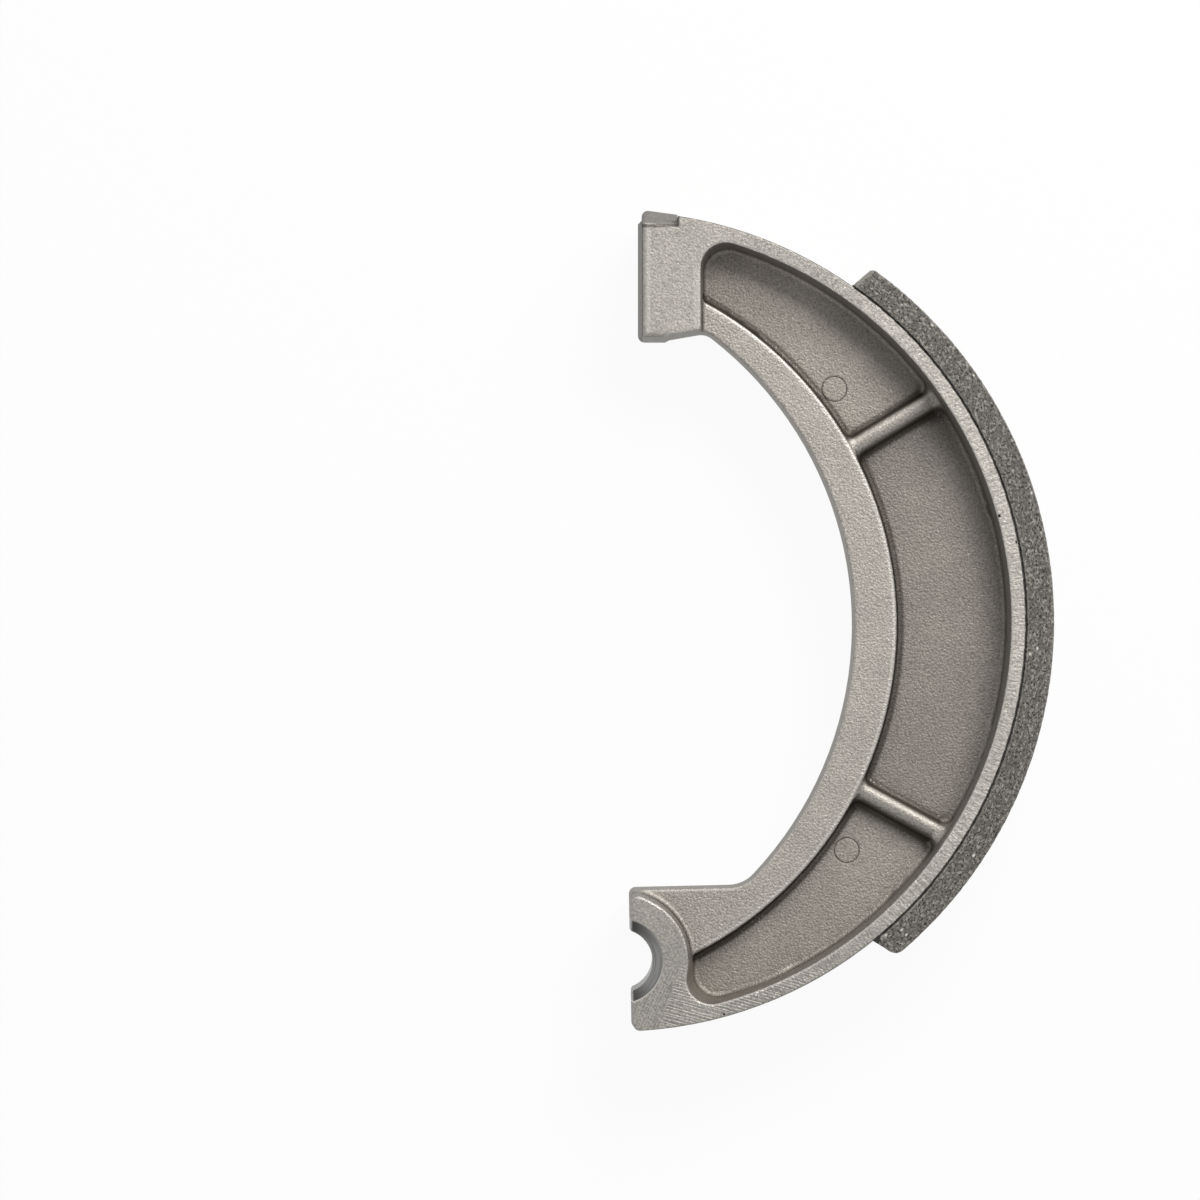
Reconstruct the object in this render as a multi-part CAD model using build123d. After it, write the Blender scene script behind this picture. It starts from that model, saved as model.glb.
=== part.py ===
from build123d import *
import os
from math import atan2, cos, degrees, radians, sin, sqrt, tan

os.makedirs("parts", exist_ok=True)

# A drum brake shoe lying on its side, in millimetres and degrees.
# X points from the wheel's axis out to the lining, Y from the pivot pin up to the cam, and Z
# along the wheel's axis. Z = 0 is the die's parting plane, and the shoe is alike on both sides.

# Brake
drum_radius = 75.0
shoe_width = 25.0
lining_thickness = 4.7
film_thickness = 0.2
table_offset = 0.85

# Die casting, with its sizes at the parting plane
die_draft = 3.2
table_allowance = 0.75
table_wall = 2.55
shoe_depth = 29.85
bow_inset = 11.9
bow_drop = 0.7
flange_width = 8.0
flange_inset = 10.8
flange_height = 7.0
web_height = 2.5
pocket_radius = 4.4
floor_fillet = 0.9
edge_round = 0.35
front_round = 0.25

# Cross ribs
rib_width = 4.4
rib_height = 6.3
rib_draft = 7.5
rib_corner_radius = 1.7
rib_edge_round = 0.9
rib_inset = 15.85
upper_rib_angle = 35.9
upper_rib_lean = -4.7
lower_rib_angle = -34.3
lower_rib_lean = 5.7

# Cam block and the unturned tip above it
cam_face_offset = 3.0
cam_block_length = 11.5
cam_block_depth = 22.45
cam_step_place = 4.7
cam_step_length = 0.8
cam_step_height = 0.4
cam_underside_rise = 1.45
cam_corner_radius = 1.2
cam_edge_round = 0.8
cam_root_radius = 3.0
tip_inset = 0.65
tip_rise = 2.373
tip_length = 6.85
tip_crown_place = 1.85
tip_corner_radius = 1.1
tip_draft = 11.3
tip_slope = 7.8

# Pivot boss
pin_depth = 12.15
pin_radius = 5.5
seat_chamfer = 1.85
boss_face_radius = 11.65
boss_draft = 6.5
heel_rise = 12.5
heel_slope = 1.3
heel_corner_radius = 1.2
heel_root_radius = 6.0
mouth_offset = 1.4
mouth_slope = 1.1
mouth_draft = 1.5
toe_corner_radius = 1.2

# Ejector marks on the web
ejector_radius = 2.25
ejector_groove_width = 0.16
ejector_groove_depth = 0.14
upper_ejector_inset = 20.12
upper_ejector_angle = 47.4
lower_ejector_inset = 19.07
lower_ejector_angle = -45.36

# Lining and its bond, with each end's angle taken where it meets the bond
lining_top_angle = 55.4
lining_top_lean = 15.0
lining_top_radius = 0.8
lining_top_bevel = 0.6
lining_bottom_angle = -51.65
lining_bottom_lean = 19.0
lining_bottom_radius = 1.4
film_inset = 0.25
bead_length = 1.5
bead_height = 0.75

# Places that follow from those sizes
overcut = 5.0
half_width = shoe_width / 2
table_radius = drum_radius - lining_thickness - film_thickness + table_offset
table_centre = (-table_offset, 0)
cast_radius = table_radius + table_allowance
table_inner_radius = table_radius - table_wall - half_width * tan(radians(die_draft))
inside_table_radius = table_inner_radius + table_wall / 2
waist = table_radius - table_offset - shoe_depth
bow_radius = drum_radius - bow_inset
flange_outer_radius = drum_radius - flange_inset
bow_centre = (waist - bow_radius, -bow_drop)
flange_centre = (waist + flange_width - flange_outer_radius, -bow_drop)
cam_underside = table_radius - cam_block_depth
crown_x = cam_face_offset + tip_crown_place
crown_y = sqrt(cast_radius**2 - (crown_x + table_offset) ** 2)
cam_top = crown_y - tip_rise
cam_block_end = cam_face_offset + cam_block_length
tip_side = cam_face_offset + tip_inset
tip_end = cam_face_offset + tip_length
pin_drop = table_radius - pin_depth
pin_centre = (0, -pin_drop)
heel_height = heel_rise - pin_drop
boss_base_radius = boss_face_radius + half_width * tan(radians(boss_draft))
upper_rib_slope = upper_rib_angle + upper_rib_lean
lower_rib_slope = lower_rib_angle + lower_rib_lean
rib_middle = (web_height + rib_height) / 2
beyond = 2 * drum_radius


def place_inside(inset, angle):
    """The place at a distance inside the drum and at an angle about the wheel's axis."""
    radius = drum_radius - inset
    return (radius * cos(radians(angle)), radius * sin(radians(angle)))


upper_rib_place = place_inside(rib_inset, upper_rib_angle)
lower_rib_place = place_inside(rib_inset, lower_rib_angle)
upper_ejector_place = place_inside(upper_ejector_inset, upper_ejector_angle)
lower_ejector_place = place_inside(lower_ejector_inset, lower_ejector_angle)


def disc(centre, radius):
    """A flat disc about a centre."""
    return Pos(*centre) * Circle(radius)


def ring(centre, inner_radius, outer_radius):
    """A flat ring about a centre."""
    return disc(centre, outer_radius) - disc(centre, inner_radius)


def area_between(low_x, low_y, high_x, high_y):
    """A flat rectangle between two corners."""
    middle = Pos((low_x + high_x) / 2, (low_y + high_y) / 2)
    return middle * Rectangle(high_x - low_x, high_y - low_y)


def half_plane(point, slope, side):
    """Everything on the left (1) or right (-1) of a line through a point."""
    return Pos(*point) * Rot(0, 0, slope) * Pos(0, side * beyond / 2) * Rectangle(2 * beyond, beyond)


def drafted(outline, height, angle):
    """A prism on the parting plane whose walls lean inwards by an angle, or outwards if it is negative."""
    prism = extrude(outline, height, dir=(0, 0, 1))
    walls = [face for face in prism.faces() if abs(face.normal_at().Z) < 0.5]
    return draft(walls, Plane.XY, angle)


def line_meets_circle(point, slope, centre, radius):
    """The farther point where a line with a slope in degrees crosses a circle."""
    run, rise = cos(radians(slope)), sin(radians(slope))
    gap_x, gap_y = point[0] - centre[0], point[1] - centre[1]
    along = gap_x * run + gap_y * rise
    reach = sqrt(along**2 - gap_x**2 - gap_y**2 + radius**2) - along
    return (point[0] + reach * run, point[1] + reach * rise)


def circles_meet(centre, radius, other_centre, other_radius):
    """The right-hand point where two circles cross, the first one below the other's centre."""
    gap_x, gap_y = other_centre[0] - centre[0], other_centre[1] - centre[1]
    gap = sqrt(gap_x**2 + gap_y**2)
    along = (gap**2 + radius**2 - other_radius**2) / (2 * gap)
    across = sqrt(radius**2 - along**2)
    return (
        centre[0] + (along * gap_x + across * gap_y) / gap,
        centre[1] + (along * gap_y - across * gap_x) / gap,
    )


def edge_near(solid, x, y, z):
    """The edge of a solid that lies nearest to a place."""
    return solid.edges().sort_by_distance((x, y, z))[0]


def level_edges(solid, height):
    """The edges of a solid that lie flat at one height."""
    at_height = solid.edges().filter_by_position(Axis.Z, height - 0.001, height + 0.001)
    return [edge for edge in at_height if edge.bounding_box().size.Z < 0.001]


def frame():
    """Half of what stands to the full width: the table, the cam block and the pivot boss."""
    table = ring(table_centre, table_inner_radius, cast_radius)
    table &= area_between(0, -beyond, beyond, beyond)
    cam_block = area_between(0, cam_underside - overcut, cam_block_end, cam_top)
    body = drafted(table + cam_block, half_width, die_draft)
    boss = Pos(*pin_centre, half_width / 2) * Cone(boss_base_radius, boss_face_radius, half_width)
    boss &= extrude(disc(table_centre, (table_radius + cast_radius) / 2), half_width)
    body = body + boss
    cam_pocket = line_meets_circle((cam_block_end, 0), 90, table_centre, table_inner_radius)
    body = fillet(edge_near(body, *cam_pocket, half_width / 2), pocket_radius)
    middle_radius = (boss_base_radius + boss_face_radius) / 2
    boss_pocket = circles_meet(pin_centre, middle_radius, table_centre, table_inner_radius)
    return fillet(edge_near(body, *boss_pocket, half_width / 2), pocket_radius)


def flange():
    """Half of the inner flange, a band of arc with its outer edge rounded."""
    outline = disc(flange_centre, flange_outer_radius)
    outline &= area_between(0, -beyond, beyond, (cam_underside + cam_top) / 2)
    band = drafted(outline, flange_height, die_draft)
    outer_edge = [edge for edge in level_edges(band, flange_height) if edge.geom_type == GeomType.CIRCLE]
    return fillet(outer_edge, edge_round)


def rib(place, slope):
    """Half of a cross rib from the flange to the table, with its long edges rounded."""
    bar = Pos(*place) * Rot(0, 0, slope) * Rectangle(beyond, rib_width)
    bar &= disc(table_centre, inside_table_radius)
    bar -= disc(flange_centre, flange_outer_radius - flange_width / 2)
    bar = drafted(bar, rib_height, rib_draft)
    long_edges = [edge for edge in level_edges(bar, rib_height) if edge.geom_type == GeomType.LINE]
    return fillet(long_edges, rib_edge_round)


def rib_corners(place, slope):
    """The four places where the sides of a rib, at half its height, meet the table and the flange."""
    places = []
    for side in (-1, 1):
        shift = side * (rib_width / 2 - rib_middle * tan(radians(rib_draft)))
        start = (place[0] - shift * sin(radians(slope)), place[1] + shift * cos(radians(slope)))
        places.append(line_meets_circle(start, slope, table_centre, table_inner_radius))
        places.append(line_meets_circle(start, slope, flange_centre, flange_outer_radius))
    return places


def pocketed_half():
    """Half of the shoe before the hub side is opened: frame, web, flange and ribs, with their fillets."""
    web = disc(table_centre, inside_table_radius)
    web &= area_between(pin_radius, -beyond, beyond, beyond)
    body = frame() + flange() + extrude(web, web_height)
    corners = []
    for place, slope in ((upper_rib_place, upper_rib_slope), (lower_rib_place, lower_rib_slope)):
        body = body + rib(place, slope)
        corners += rib_corners(place, slope)
    body = fillet([edge_near(body, *corner, rib_middle) for corner in corners], rib_corner_radius)

    cam_wall = cam_block_end - flange_height * tan(radians(die_draft))
    cam_corner = line_meets_circle((cam_block_end, 0), 90, flange_centre, flange_outer_radius)
    boss_radius = boss_face_radius + (half_width - flange_height) * tan(radians(boss_draft))
    boss_side = boss_radius * cos(radians(45))
    boss_corner = circles_meet(pin_centre, boss_radius, flange_centre, -flange_outer_radius)
    flange_middle = (web_height + flange_height) / 2
    roots = level_edges(body, web_height)
    roots.append(edge_near(body, cam_wall, cam_underside + overcut, flange_height))
    roots.append(edge_near(body, *cam_corner, flange_middle))
    roots.append(edge_near(body, boss_side, boss_side - pin_drop, flange_height))
    roots.append(edge_near(body, *boss_corner, flange_middle))
    return fillet(roots, floor_fillet)


def hub_space():
    """The space on the hub side, past the cam faces, the cam block's underside, the bow and the heel."""
    step_start = cam_face_offset + cam_step_place
    step_end = step_start + cam_step_length
    step_top = cam_underside + cam_step_height
    slope = degrees(atan2(cam_underside_rise - cam_step_height, cam_block_end - step_end))
    cam_root = line_meets_circle((step_end, step_top), slope, bow_centre, bow_radius)
    heel_root = line_meets_circle((0, heel_height), heel_slope, bow_centre, bow_radius)
    bow = ThreePointArc(cam_root, (waist, -bow_drop), heel_root)
    rest = Polyline(
        heel_root,
        (-beyond, heel_height - beyond * tan(radians(heel_slope))),
        (-beyond, beyond),
        (tip_side, beyond),
        (tip_side, cam_top + tip_inset),
        (cam_face_offset, cam_top),
        (cam_face_offset, cam_underside),
        (step_start, cam_underside),
        (step_end, step_top),
        cam_root,
    )
    outline = make_face([bow.edge(), *rest.edges()])
    rounded_corners = (
        (cam_root, cam_root_radius),
        (heel_root, heel_root_radius),
        ((cam_face_offset, cam_underside), cam_corner_radius),
    )
    for place, radius in rounded_corners:
        outline = fillet(outline.vertices().sort_by_distance((*place, 0))[0], radius)
    return drafted(outline, half_width + overcut, -die_draft)


def mouth_side(height):
    """How far the pin's mouth stands from the pin's axis at a height."""
    return mouth_offset + (heel_height - height) * tan(radians(mouth_slope))


def mouth_space():
    """The space on the open side of the pivot boss."""
    top = heel_height + overcut
    outline = Polygon(
        (-beyond, -beyond),
        (mouth_side(-beyond), -beyond),
        (mouth_side(top), top),
        (-beyond, top),
        align=None,
    )
    return drafted(outline, half_width + overcut, -mouth_draft)


def tip_space():
    """What the tip's sloping pad lacks of the cast arc."""
    fall, lean = radians(tip_slope), radians(tip_draft)
    upwards = (sin(fall) * cos(lean), cos(fall) * cos(lean), sin(lean))
    above_pad = extrude(Plane(origin=(crown_x, crown_y, 0), z_dir=upwards) * Rectangle(beyond, beyond), overcut)
    over_tip = area_between(0, cam_underside, tip_end, beyond)
    return above_pad & extrude(over_tip, half_width + overcut)


def shaped_half():
    """Half of the casting with its hub side open and its table turned, and with its edges rounded."""
    turned = disc(table_centre, cast_radius + overcut) - disc(table_centre, table_radius)
    turned -= area_between(-beyond, 0, tip_end, beyond)
    body = pocketed_half() - hub_space() - mouth_space()
    body = body - extrude(turned, half_width + overcut) - tip_space()

    boss_top = sqrt(boss_face_radius**2 - mouth_offset**2) - pin_drop
    heel_corner = edge_near(body, mouth_offset, heel_height, web_height)
    boss_corner = edge_near(body, mouth_offset, boss_top, (flange_height + half_width) / 2)
    body = fillet([heel_corner, boss_corner], heel_corner_radius)
    toe_corner = edge_near(body, mouth_side(-table_radius), -table_radius, half_width / 2)
    body = fillet(toe_corner, toe_corner_radius)
    body = fillet(edge_near(body, waist, -bow_drop, flange_height), edge_round)
    cam_side = cam_face_offset + half_width * tan(radians(die_draft))
    cam_edge = edge_near(body, cam_side, (cam_underside + cam_top) / 2, half_width)
    body = fillet(cam_edge, cam_edge_round)
    tip_corner = edge_near(body, tip_side, (cam_top + cast_radius) / 2, web_height)
    body = fillet(tip_corner, tip_corner_radius)
    return fillet(level_edges(body, half_width), front_round)


def finished_half():
    """The shaped half with the pin's seat bored and chamfered, and with its ejector marks."""
    body = shaped_half() - extrude(disc(pin_centre, pin_radius), half_width + overcut)
    chamfer = Cone(pin_radius, pin_radius + seat_chamfer, seat_chamfer)
    body -= Pos(*pin_centre, half_width - seat_chamfer / 2) * chamfer
    for place in (upper_ejector_place, lower_ejector_place):
        groove = ring(place, ejector_radius - ejector_groove_width, ejector_radius)
        body -= Pos(0, 0, web_height - ejector_groove_depth) * extrude(groove, web_height)
    return body


def shoe_casting():
    """The whole casting, alike above and below the parting plane."""
    half = finished_half()
    return half + mirror(half, about=Plane.XY)


def lining_corner(angle):
    """The place on the lining's inner face at an angle about the wheel's axis."""
    return line_meets_circle((0, 0), angle, table_centre, table_radius + film_thickness)


def lining_reach():
    """Everything between the two ends of the lining."""
    top = half_plane(lining_corner(lining_top_angle), lining_top_angle - lining_top_lean, -1)
    bottom = half_plane(lining_corner(lining_bottom_angle), lining_bottom_angle + lining_bottom_lean, 1)
    return top & bottom


def bead_outline():
    """The corner at the lining's lower end that the squeezed-out bond fills."""
    corner = lining_corner(lining_bottom_angle)
    slope = radians(lining_bottom_angle + lining_bottom_lean)
    outer = (corner[0] + bead_height * cos(slope), corner[1] + bead_height * sin(slope))
    inner = lining_corner(lining_bottom_angle + degrees(bead_length / drum_radius))
    return make_face(Polyline(corner, outer, inner, close=True))


def friction_lining():
    """The moulded lining, ground to the drum's radius, with its corners eased."""
    band = disc((0, 0), drum_radius) - disc(table_centre, table_radius + film_thickness)
    band = (band & lining_reach()) - bead_outline()
    body = extrude(band, half_width, both=True)
    top = line_meets_circle(
        lining_corner(lining_top_angle), lining_top_angle - lining_top_lean, (0, 0), drum_radius
    )
    bottom = line_meets_circle(
        lining_corner(lining_bottom_angle), lining_bottom_angle + lining_bottom_lean, (0, 0), drum_radius
    )
    body = fillet(edge_near(body, *bottom, 0), lining_bottom_radius)
    middle = Vector(*top) + Vector(*lining_corner(lining_top_angle))
    ends = [edge_near(body, middle.X / 2, middle.Y / 2, side * half_width) for side in (-1, 1)]
    body = chamfer(ends, lining_top_bevel)
    return fillet(edge_near(body, *top, 0), lining_top_radius)


def adhesive_film():
    """The bond between table and lining, a little narrower than both, with its bead."""
    band = ring(table_centre, table_radius, table_radius + film_thickness) & lining_reach()
    bead = bead_outline() - disc(table_centre, table_radius + film_thickness)
    return extrude(band + bead, half_width - film_inset, both=True)


pieces = {
    "shoe_casting": shoe_casting(),
    "friction_lining": friction_lining(),
    "adhesive_film": adhesive_film(),
}
for name, piece in pieces.items():
    print(name, piece.is_valid, len(piece.solids()), round(piece.volume, 2), piece.bounding_box())
    export_step(Pos(0, pin_drop, 0) * piece, f"parts/{name}.step")
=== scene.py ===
from math import atan2, cos, hypot, radians, sin, sqrt

import bmesh
import bpy
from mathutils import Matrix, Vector
from mathutils.noise import fractal


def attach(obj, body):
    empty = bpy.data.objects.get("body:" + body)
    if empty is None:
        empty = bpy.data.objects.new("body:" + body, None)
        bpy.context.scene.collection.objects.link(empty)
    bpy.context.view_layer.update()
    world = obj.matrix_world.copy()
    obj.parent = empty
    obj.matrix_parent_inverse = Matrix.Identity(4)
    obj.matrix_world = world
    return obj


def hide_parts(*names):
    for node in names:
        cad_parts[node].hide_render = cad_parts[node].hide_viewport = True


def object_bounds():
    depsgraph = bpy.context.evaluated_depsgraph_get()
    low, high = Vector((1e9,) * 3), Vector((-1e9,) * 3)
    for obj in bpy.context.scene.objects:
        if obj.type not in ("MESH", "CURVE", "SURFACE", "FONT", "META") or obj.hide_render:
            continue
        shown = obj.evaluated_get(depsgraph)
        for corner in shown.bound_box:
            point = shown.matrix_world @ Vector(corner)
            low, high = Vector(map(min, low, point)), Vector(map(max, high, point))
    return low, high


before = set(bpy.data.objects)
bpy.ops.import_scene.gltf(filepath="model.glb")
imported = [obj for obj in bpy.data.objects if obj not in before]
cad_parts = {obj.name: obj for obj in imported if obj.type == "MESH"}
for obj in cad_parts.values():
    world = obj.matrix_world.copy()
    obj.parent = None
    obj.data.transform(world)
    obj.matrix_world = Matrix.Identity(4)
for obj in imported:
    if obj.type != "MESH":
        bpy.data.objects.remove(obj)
cad_low, cad_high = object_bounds()


# The photographed view. The shoe lies on its side and the camera looks straight down on it from
# 1.8 m, so that the walls of the casting just show their draft. Y points up the picture.
photo_width = 0.20750
photo_middle = (-0.0036, 0.0625)
camera_height = 1.8
sensor_width = 36.0

camera_data = bpy.data.cameras.new("photo_camera")
camera_data.sensor_width = sensor_width
camera_data.lens = sensor_width * (camera_height - cad_high.z) / photo_width
camera_data.clip_start = 0.1
camera_data.clip_end = 20.0
camera = bpy.data.objects.new("photo_camera", camera_data)
camera.location = (*photo_middle, camera_height)
bpy.context.scene.collection.objects.link(camera)
bpy.context.scene.camera = camera


# The studio. A room with pale walls and a greyer ceiling is all the fill there is, and one broad
# soft lamp beyond the cam end, towards the lining, is the key.
room_light = 0.50
room_far_side = 1.0
room_near_side = 0.65
room_ceiling = (0.40, 0.40, 0.40, 1.0)
ceiling_begins = 0.25
ceiling_is_full = 0.85
key_size = (0.50, 0.42)
key_power = 5.2
key_colour = (1.0, 0.985, 0.96)
key_place = Vector((0.260, 0.500, 0.560))
key_target = Vector((0.037, 0.059, 0.0))


def feed(socket, value):
    """Give a socket a plain value, or link it to another node's output."""
    if isinstance(value, bpy.types.NodeSocket):
        socket.id_data.links.new(value, socket)
    else:
        socket.default_value = value


def shader_node(tree, kind, settings=None, inputs=None):
    """A node with its settings, and with its inputs fed by name or by number."""
    made = tree.nodes.new(kind)
    for name, value in (settings or {}).items():
        setattr(made, name, value)
    for key, value in (inputs or {}).items():
        feed(made.inputs[key], value)
    return made


def calc(tree, operation, *values):
    """One step of arithmetic on values that change over the surface."""
    return shader_node(tree, "ShaderNodeMath", {"operation": operation}, dict(enumerate(values))).outputs[0]


def ramped(tree, value, low, high, to_low=0.0, to_high=1.0, smooth=True):
    """A value carried from one range to another and held at its ends."""
    kind = {"interpolation_type": "SMOOTHSTEP" if smooth else "LINEAR", "clamp": True}
    ends = {"Value": value, "From Min": low, "From Max": high, "To Min": to_low, "To Max": to_high}
    return shader_node(tree, "ShaderNodeMapRange", kind, ends).outputs["Result"]


def mixed(tree, mask, first, second, blend="MIX"):
    """Two colours mixed by a mask."""
    kind = {"data_type": "RGBA", "blend_type": blend}
    return shader_node(tree, "ShaderNodeMix", kind, {0: mask, 6: first, 7: second}).outputs[2]


def split(tree, place):
    """The X, Y and Z of a vector."""
    return shader_node(tree, "ShaderNodeSeparateXYZ", None, {0: place}).outputs


def looked_at(tree):
    """1 for what the camera sees, straight or through a mirror or glass, and 0 for plain light."""
    rays = shader_node(tree, "ShaderNodeLightPath").outputs
    mirrored = calc(tree, "MAXIMUM", rays["Is Glossy Ray"], rays["Is Transmission Ray"])
    return calc(tree, "MAXIMUM", rays["Is Camera Ray"], mirrored)


room = bpy.data.worlds.new("pale_room")
room.use_nodes = True
bpy.context.scene.world = room
tree = room.node_tree
tree.nodes.clear()
towards = split(tree, shader_node(tree, "ShaderNodeTexCoord").outputs["Generated"])
wall = ramped(tree, towards["Y"], -1.0, 1.0, room_near_side, room_far_side)
overhead = ramped(tree, towards["Z"], ceiling_begins, ceiling_is_full)
shade = mixed(tree, overhead, wall, room_ceiling)
strength = ramped(tree, looked_at(tree), 0.0, 1.0, room_light, 1.0, smooth=False)
backdrop = shader_node(tree, "ShaderNodeBackground", None, {"Color": shade, "Strength": strength})
shader_node(tree, "ShaderNodeOutputWorld", None, {"Surface": backdrop.outputs[0]})

key_data = bpy.data.lights.new("key_lamp", "AREA")
key_data.shape = "RECTANGLE"
key_data.size, key_data.size_y = key_size
key_data.energy = key_power
key_data.color = key_colour
key_lamp = bpy.data.objects.new("key_lamp", key_data)
key_lamp.location = key_place
key_lamp.rotation_mode = "QUATERNION"
key_lamp.rotation_quaternion = (key_target - key_place).to_track_quat("-Z", "Y")
bpy.context.scene.collection.objects.link(key_lamp)


# The table top that the shoe lies on. It is matt white, seen as white by the camera and by the
# metal, and it keeps the shoe's faint contact shadow.
floor_drop = 0.00003
floor_half = 3.0
floor_white = (0.9, 0.9, 0.9, 1.0)
glow_white = (1.0, 1.0, 1.0, 1.0)
shadow_share = 0.06

floor_height = cad_low.z - floor_drop
corners = [(x * floor_half, y * floor_half, floor_height) for x, y in ((-1, -1), (1, -1), (1, 1), (-1, 1))]
floor_mesh = bpy.data.meshes.new("table_top")
floor_mesh.from_pydata(corners, [], [(0, 1, 2, 3)])
floor = bpy.data.objects.new("table_top", floor_mesh)
bpy.context.scene.collection.objects.link(floor)

floor_paint = bpy.data.materials.new("white_table_top")
floor_paint.use_nodes = True
tree = floor_paint.node_tree
tree.nodes.clear()
matt = shader_node(tree, "ShaderNodeBsdfDiffuse", None, {"Color": floor_white})
glow = shader_node(tree, "ShaderNodeEmission", None, {"Color": glow_white, "Strength": 1.0})
share = calc(tree, "MULTIPLY", looked_at(tree), 1.0 - shadow_share)
cover = shader_node(tree, "ShaderNodeMixShader", None, {0: share, 1: matt.outputs[0], 2: glow.outputs[0]})
shader_node(tree, "ShaderNodeOutputMaterial", None, {"Surface": cover.outputs[0]})
floor_mesh.materials.append(floor_paint)


# The shoe's body is one aluminium pressure casting. It was shot-blasted all over, its two sides
# were linished level, the table was turned to take the lining and the pivot seat was bored.
# Its places and sizes are in millimetres, and its relief and its rounding in metres.
millimetres = (1000, 1000, 1000)
drum_centre = (0.0, 58.8)
table_centre = (-0.85, 58.8)
bond_radius = 71.05
turned_band = (70.80, 71.10)
table_wall_radius = 66.4
rim_inner_radius = 68.4
rim_arc_radius = 70.0
rim_begins = (16.0, 24.0)
side_height = 12.3
web_height = 2.5
flange_centre = (-15.95, 58.1)
flange_radius = 64.2
flange_height = 7.0
flange_edge_band = (63.10, 63.78)
flange_wall_band = (63.80, 65.10)
ribs = ((47.91, 93.48, 31.2), (48.86, 25.47, -28.6))
rib_half_width = 2.2
rib_height = 6.3
rib_crest_offset = 0.7
rib_crown = 1.7
ribs_begin = (30.0, 33.0)
block_underside = 107.0
block_near_band = (3.92, 5.10)
block_far_band = (12.60, 13.60)
block_passed = (12.6, 13.2)
tip_corner = (9.9, 127.6)
tip_foot_band = (126.95, 127.55)
tip_side_band = (9.80, 10.15)
lining_top = 55.4
lining_bottom = -51.65
seat_chamfer_radius = 7.36
linish_slopes = (65.0, -15.0)
linish_change = (10.5, 10.9)
linish_change_lean = 0.35
blasted_colour = (0.430, 0.404, 0.370, 1.0)
linished_colour = (0.445, 0.422, 0.391, 1.0)
pocket_colour = (0.345, 0.319, 0.288, 1.0)
wall_shade_colour = (0.290, 0.261, 0.225, 1.0)
painted_shade_colour = (0.050, 0.041, 0.031, 1.0)
wear_and_highlight_colour = (0.720, 0.695, 0.655, 1.0)
bored_lit = (0.300, 0.298, 0.292, 1.0)
bored_shaded = (0.050, 0.048, 0.046, 1.0)
pit_colour = (0.012, 0.010, 0.009, 1.0)
rim_light_tones = (1.16, 0.90)
web_tones = (1.12, 0.87)
wall_shade_tone = 0.62
rib_flank_shade_tone = 0.50
lower_flank_shade_tone = 0.62
crest_highlight_tone = 1.18
flange_wall_shade_tone = 0.45
rib_corner_shadow_tone = 0.50
block_wall_shade_tone = 0.55
tip_tone = 0.75
root_shade = 0.80
edge_wear_and_highlight = 0.80
parting_line_wear = 0.45
glint_highlight_share = 0.30
casting_metallic = 0.75
skin_roughness = 0.56
side_roughness = 0.46
worn_polish = 0.12
glint_polish = 0.20
seat_polish = 0.22
skin_relief = 0.000075
number = "NodeSocketFloat"
vector = "NodeSocketVector"


def joined(tree, x, y, z=0.0):
    """A vector from its X, Y and Z."""
    return shader_node(tree, "ShaderNodeCombineXYZ", None, {0: x, 1: y, 2: z}).outputs[0]


def vector_calc(tree, operation, first, second=(0, 0, 0), result=0):
    """One step of arithmetic on vectors."""
    kind = {"operation": operation}
    return shader_node(tree, "ShaderNodeVectorMath", kind, {0: first, 1: second}).outputs[result]


def product(tree, *values):
    """Several masks multiplied together."""
    result = values[0]
    for value in values[1:]:
        result = calc(tree, "MULTIPLY", result, value)
    return result


def band(tree, value, low, high, soft):
    """1 where a value lies between two bounds, with soft ends."""
    above = ramped(tree, value, low - soft, low + soft)
    below = ramped(tree, value, high + soft, high - soft)
    return calc(tree, "MULTIPLY", above, below)


def outside(tree, mask):
    """1 wherever a mask is 0."""
    return calc(tree, "SUBTRACT", 1.0, mask)


def dimmed(tree, value, mask, share):
    """A value brought to a share of itself under a mask."""
    return calc(tree, "MULTIPLY", value, ramped(tree, mask, 0.0, 1.0, 1.0, share))


def clouds(tree, place, per_mm, detail=2.0, roughness=0.5):
    """Noise from 0 to 1, its scale in waves per millimetre."""
    inputs = {"Vector": place, "Scale": per_mm, "Detail": detail, "Roughness": roughness}
    return shader_node(tree, "ShaderNodeTexNoise", None, inputs).outputs["Fac"]


def grains(tree, place, per_mm):
    """Random grains: how far a point lies from the nearest one's middle, and that one's own number."""
    made = shader_node(tree, "ShaderNodeTexVoronoi", {"feature": "F1"}, {"Vector": place, "Scale": per_mm})
    own = shader_node(tree, "ShaderNodeSeparateColor", None, {"Color": made.outputs["Color"]}).outputs[0]
    return made.outputs["Distance"], own


def distance_from(tree, at, x, y):
    """How far a point lies from an upright line."""
    across = joined(tree, calc(tree, "SUBTRACT", at["X"], x), calc(tree, "SUBTRACT", at["Y"], y))
    return vector_calc(tree, "LENGTH", across, result=1)


def angle_about(tree, at, x, y):
    """The angle of a point about an upright line, in radians."""
    return calc(tree, "ARCTAN2", calc(tree, "SUBTRACT", at["Y"], y), calc(tree, "SUBTRACT", at["X"], x))


def side_of_line(tree, at, x, y, slope):
    """How far a point lies above an upright plane through a place, at a slope in degrees."""
    rise = calc(tree, "MULTIPLY", calc(tree, "SUBTRACT", at["Y"], y), cos(radians(slope)))
    run = calc(tree, "MULTIPLY", calc(tree, "SUBTRACT", at["X"], x), sin(radians(slope)))
    return calc(tree, "SUBTRACT", rise, run)


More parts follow.
